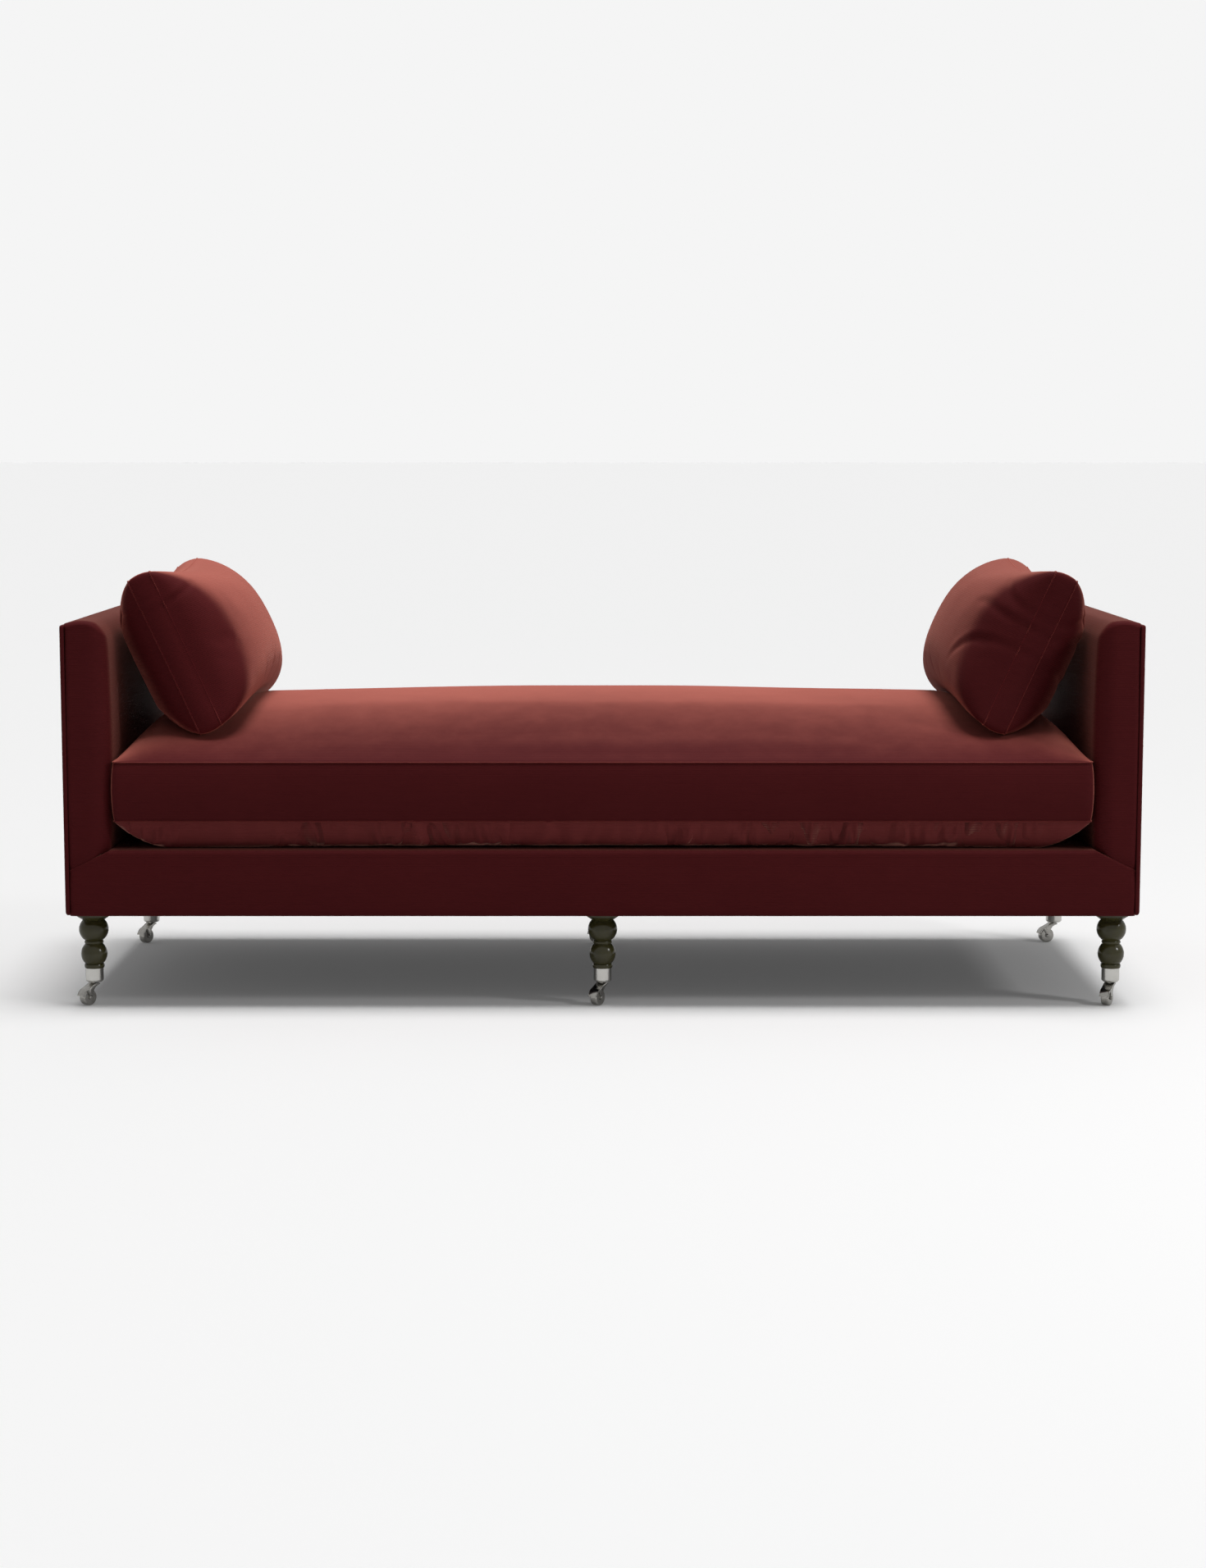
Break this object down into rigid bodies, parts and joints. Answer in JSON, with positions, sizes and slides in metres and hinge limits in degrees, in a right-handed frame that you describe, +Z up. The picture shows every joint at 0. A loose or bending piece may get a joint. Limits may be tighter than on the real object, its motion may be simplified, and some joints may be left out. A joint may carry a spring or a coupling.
{
  "type": "daybed",
  "caption": "Upholstered daybed with matching arms, a loose boxed seat cushion, leaning end pillows and turned legs on castors.",
  "frame": {"origin": "on the floor, under the middle of the daybed", "axes": "+X along the daybed towards its right end as seen from the front, -Y towards the front, +Z up"},
  "size_m": [2.134, 0.84, 0.8715],
  "materials": {
    "velvet": "rust red velvet over thin padding",
    "cushion": "rust red velvet over foam and down",
    "dust_cloth": "thin black non-woven cloth",
    "hardwood": "planed, unfinished",
    "slat_wood": "planed, unfinished",
    "painted_wood": "olive brown gloss paint",
    "nickel": "bright nickel plate",
    "steel": "zinc plated"
  },
  "bodies": {
    "frame": {"front_rail": "hardwood", "rear_rail": "hardwood", "end_rail_left": "hardwood", "end_rail_right": "hardwood", "front_left_post": "hardwood", "rear_left_post": "hardwood", "front_right_post": "hardwood", "rear_right_post": "hardwood", "arm_top_rail_left": "hardwood", "arm_top_rail_right": "hardwood", "arm_board_left": "hardwood", "arm_board_right": "hardwood", "cross_rail": "hardwood", "corner_blocks": "hardwood", "slats": "slat_wood", "slat_ledges": "hardwood", "leg_plates": "steel", "leg_bolts": "steel", "cup_screws": "steel", "base_cover_front": "velvet", "base_cover_rear": "velvet", "arm_cover_left": "velvet", "arm_cover_right": "velvet", "side_panel_left": "velvet", "side_panel_right": "velvet", "deck_cover": "velvet", "dust_cover": "dust_cloth", "front_left_leg": "painted_wood", "front_left_caster_cup": "nickel", "front_middle_leg": "painted_wood", "front_middle_caster_cup": "nickel", "front_right_leg": "painted_wood", "front_right_caster_cup": "nickel", "rear_left_leg": "painted_wood", "rear_left_caster_cup": "nickel", "rear_middle_leg": "painted_wood", "rear_middle_caster_cup": "nickel", "rear_right_leg": "painted_wood", "rear_right_caster_cup": "nickel"},
    "seat": {"seat_cushion": "cushion"},
    "pillow_at_left": {"left_pillow": "cushion"},
    "pillow_at_right": {"right_pillow": "cushion"},
    "front_left_swivel": {"front_left_caster_horn": "nickel", "front_left_caster_axle": "nickel"},
    "front_left_wheel": {"front_left_caster_wheel": "nickel"},
    "front_middle_swivel": {"front_middle_caster_horn": "nickel", "front_middle_caster_axle": "nickel"},
    "front_middle_wheel": {"front_middle_caster_wheel": "nickel"},
    "front_right_swivel": {"front_right_caster_horn": "nickel", "front_right_caster_axle": "nickel"},
    "front_right_wheel": {"front_right_caster_wheel": "nickel"},
    "rear_left_swivel": {"rear_left_caster_horn": "nickel", "rear_left_caster_axle": "nickel"},
    "rear_left_wheel": {"rear_left_caster_wheel": "nickel"},
    "rear_middle_swivel": {"rear_middle_caster_horn": "nickel", "rear_middle_caster_axle": "nickel"},
    "rear_middle_wheel": {"rear_middle_caster_wheel": "nickel"},
    "rear_right_swivel": {"rear_right_caster_horn": "nickel", "rear_right_caster_axle": "nickel"},
    "rear_right_wheel": {"rear_right_caster_wheel": "nickel"}
  },
  "joints": [
    {"name": "seat_lift", "type": "slide", "parent": "frame", "child": "seat", "axis": [0, 0, 1], "range_m": [0, 0.5]},
    {"name": "left_pillow_lift", "type": "slide", "parent": "seat", "child": "pillow_at_left", "axis": [0, 0, 1], "range_m": [0, 0.35]},
    {"name": "right_pillow_lift", "type": "slide", "parent": "seat", "child": "pillow_at_right", "axis": [0, 0, 1], "range_m": [0, 0.35]},
    {"name": "front_left_swivel_turn", "type": "hinge", "parent": "frame", "child": "front_left_swivel", "pos_m": [-1.0215, -0.362, 0.043], "axis": [0, 0, 1], "continuous": true},
    {"name": "front_left_wheel_roll", "type": "hinge", "parent": "front_left_swivel", "child": "front_left_wheel", "pos_m": [-1.03331, -0.37558, 0.016], "axis": [-0.7547, 0.6561, 0], "continuous": true},
    {"name": "front_middle_swivel_turn", "type": "hinge", "parent": "frame", "child": "front_middle_swivel", "pos_m": [0, -0.362, 0.043], "axis": [0, 0, 1], "continuous": true},
    {"name": "front_middle_wheel_roll", "type": "hinge", "parent": "front_middle_swivel", "child": "front_middle_wheel", "pos_m": [-0.01007, -0.37692, 0.016], "axis": [-0.829, 0.5592, 0], "continuous": true},
    {"name": "front_right_swivel_turn", "type": "hinge", "parent": "frame", "child": "front_right_swivel", "pos_m": [1.0215, -0.362, 0.043], "axis": [0, 0, 1], "continuous": true},
    {"name": "front_right_wheel_roll", "type": "hinge", "parent": "front_right_swivel", "child": "front_right_wheel", "pos_m": [1.01277, -0.37774, 0.016], "axis": [-0.8746, 0.4848, 0], "continuous": true},
    {"name": "rear_left_swivel_turn", "type": "hinge", "parent": "frame", "child": "rear_left_swivel", "pos_m": [-1.0215, 0.362, 0.043], "axis": [0, 0, 1], "continuous": true},
    {"name": "rear_left_wheel_roll", "type": "hinge", "parent": "rear_left_swivel", "child": "rear_left_wheel", "pos_m": [-1.03157, 0.34708, 0.016], "axis": [-0.829, 0.5592, 0], "continuous": true},
    {"name": "rear_middle_swivel_turn", "type": "hinge", "parent": "frame", "child": "rear_middle_swivel", "pos_m": [0, 0.362, 0.043], "axis": [0, 0, 1], "continuous": true},
    {"name": "rear_middle_wheel_roll", "type": "hinge", "parent": "rear_middle_swivel", "child": "rear_middle_wheel", "pos_m": [-0.01379, 0.35043, 0.016], "axis": [-0.6428, 0.766, 0], "continuous": true},
    {"name": "rear_right_swivel_turn", "type": "hinge", "parent": "frame", "child": "rear_right_swivel", "pos_m": [1.0215, 0.362, 0.043], "axis": [0, 0, 1], "continuous": true},
    {"name": "rear_right_wheel_roll", "type": "hinge", "parent": "rear_right_swivel", "child": "rear_right_wheel", "pos_m": [1.00411, 0.35734, 0.016], "axis": [-0.2588, 0.9659, 0], "continuous": true}
  ]
}
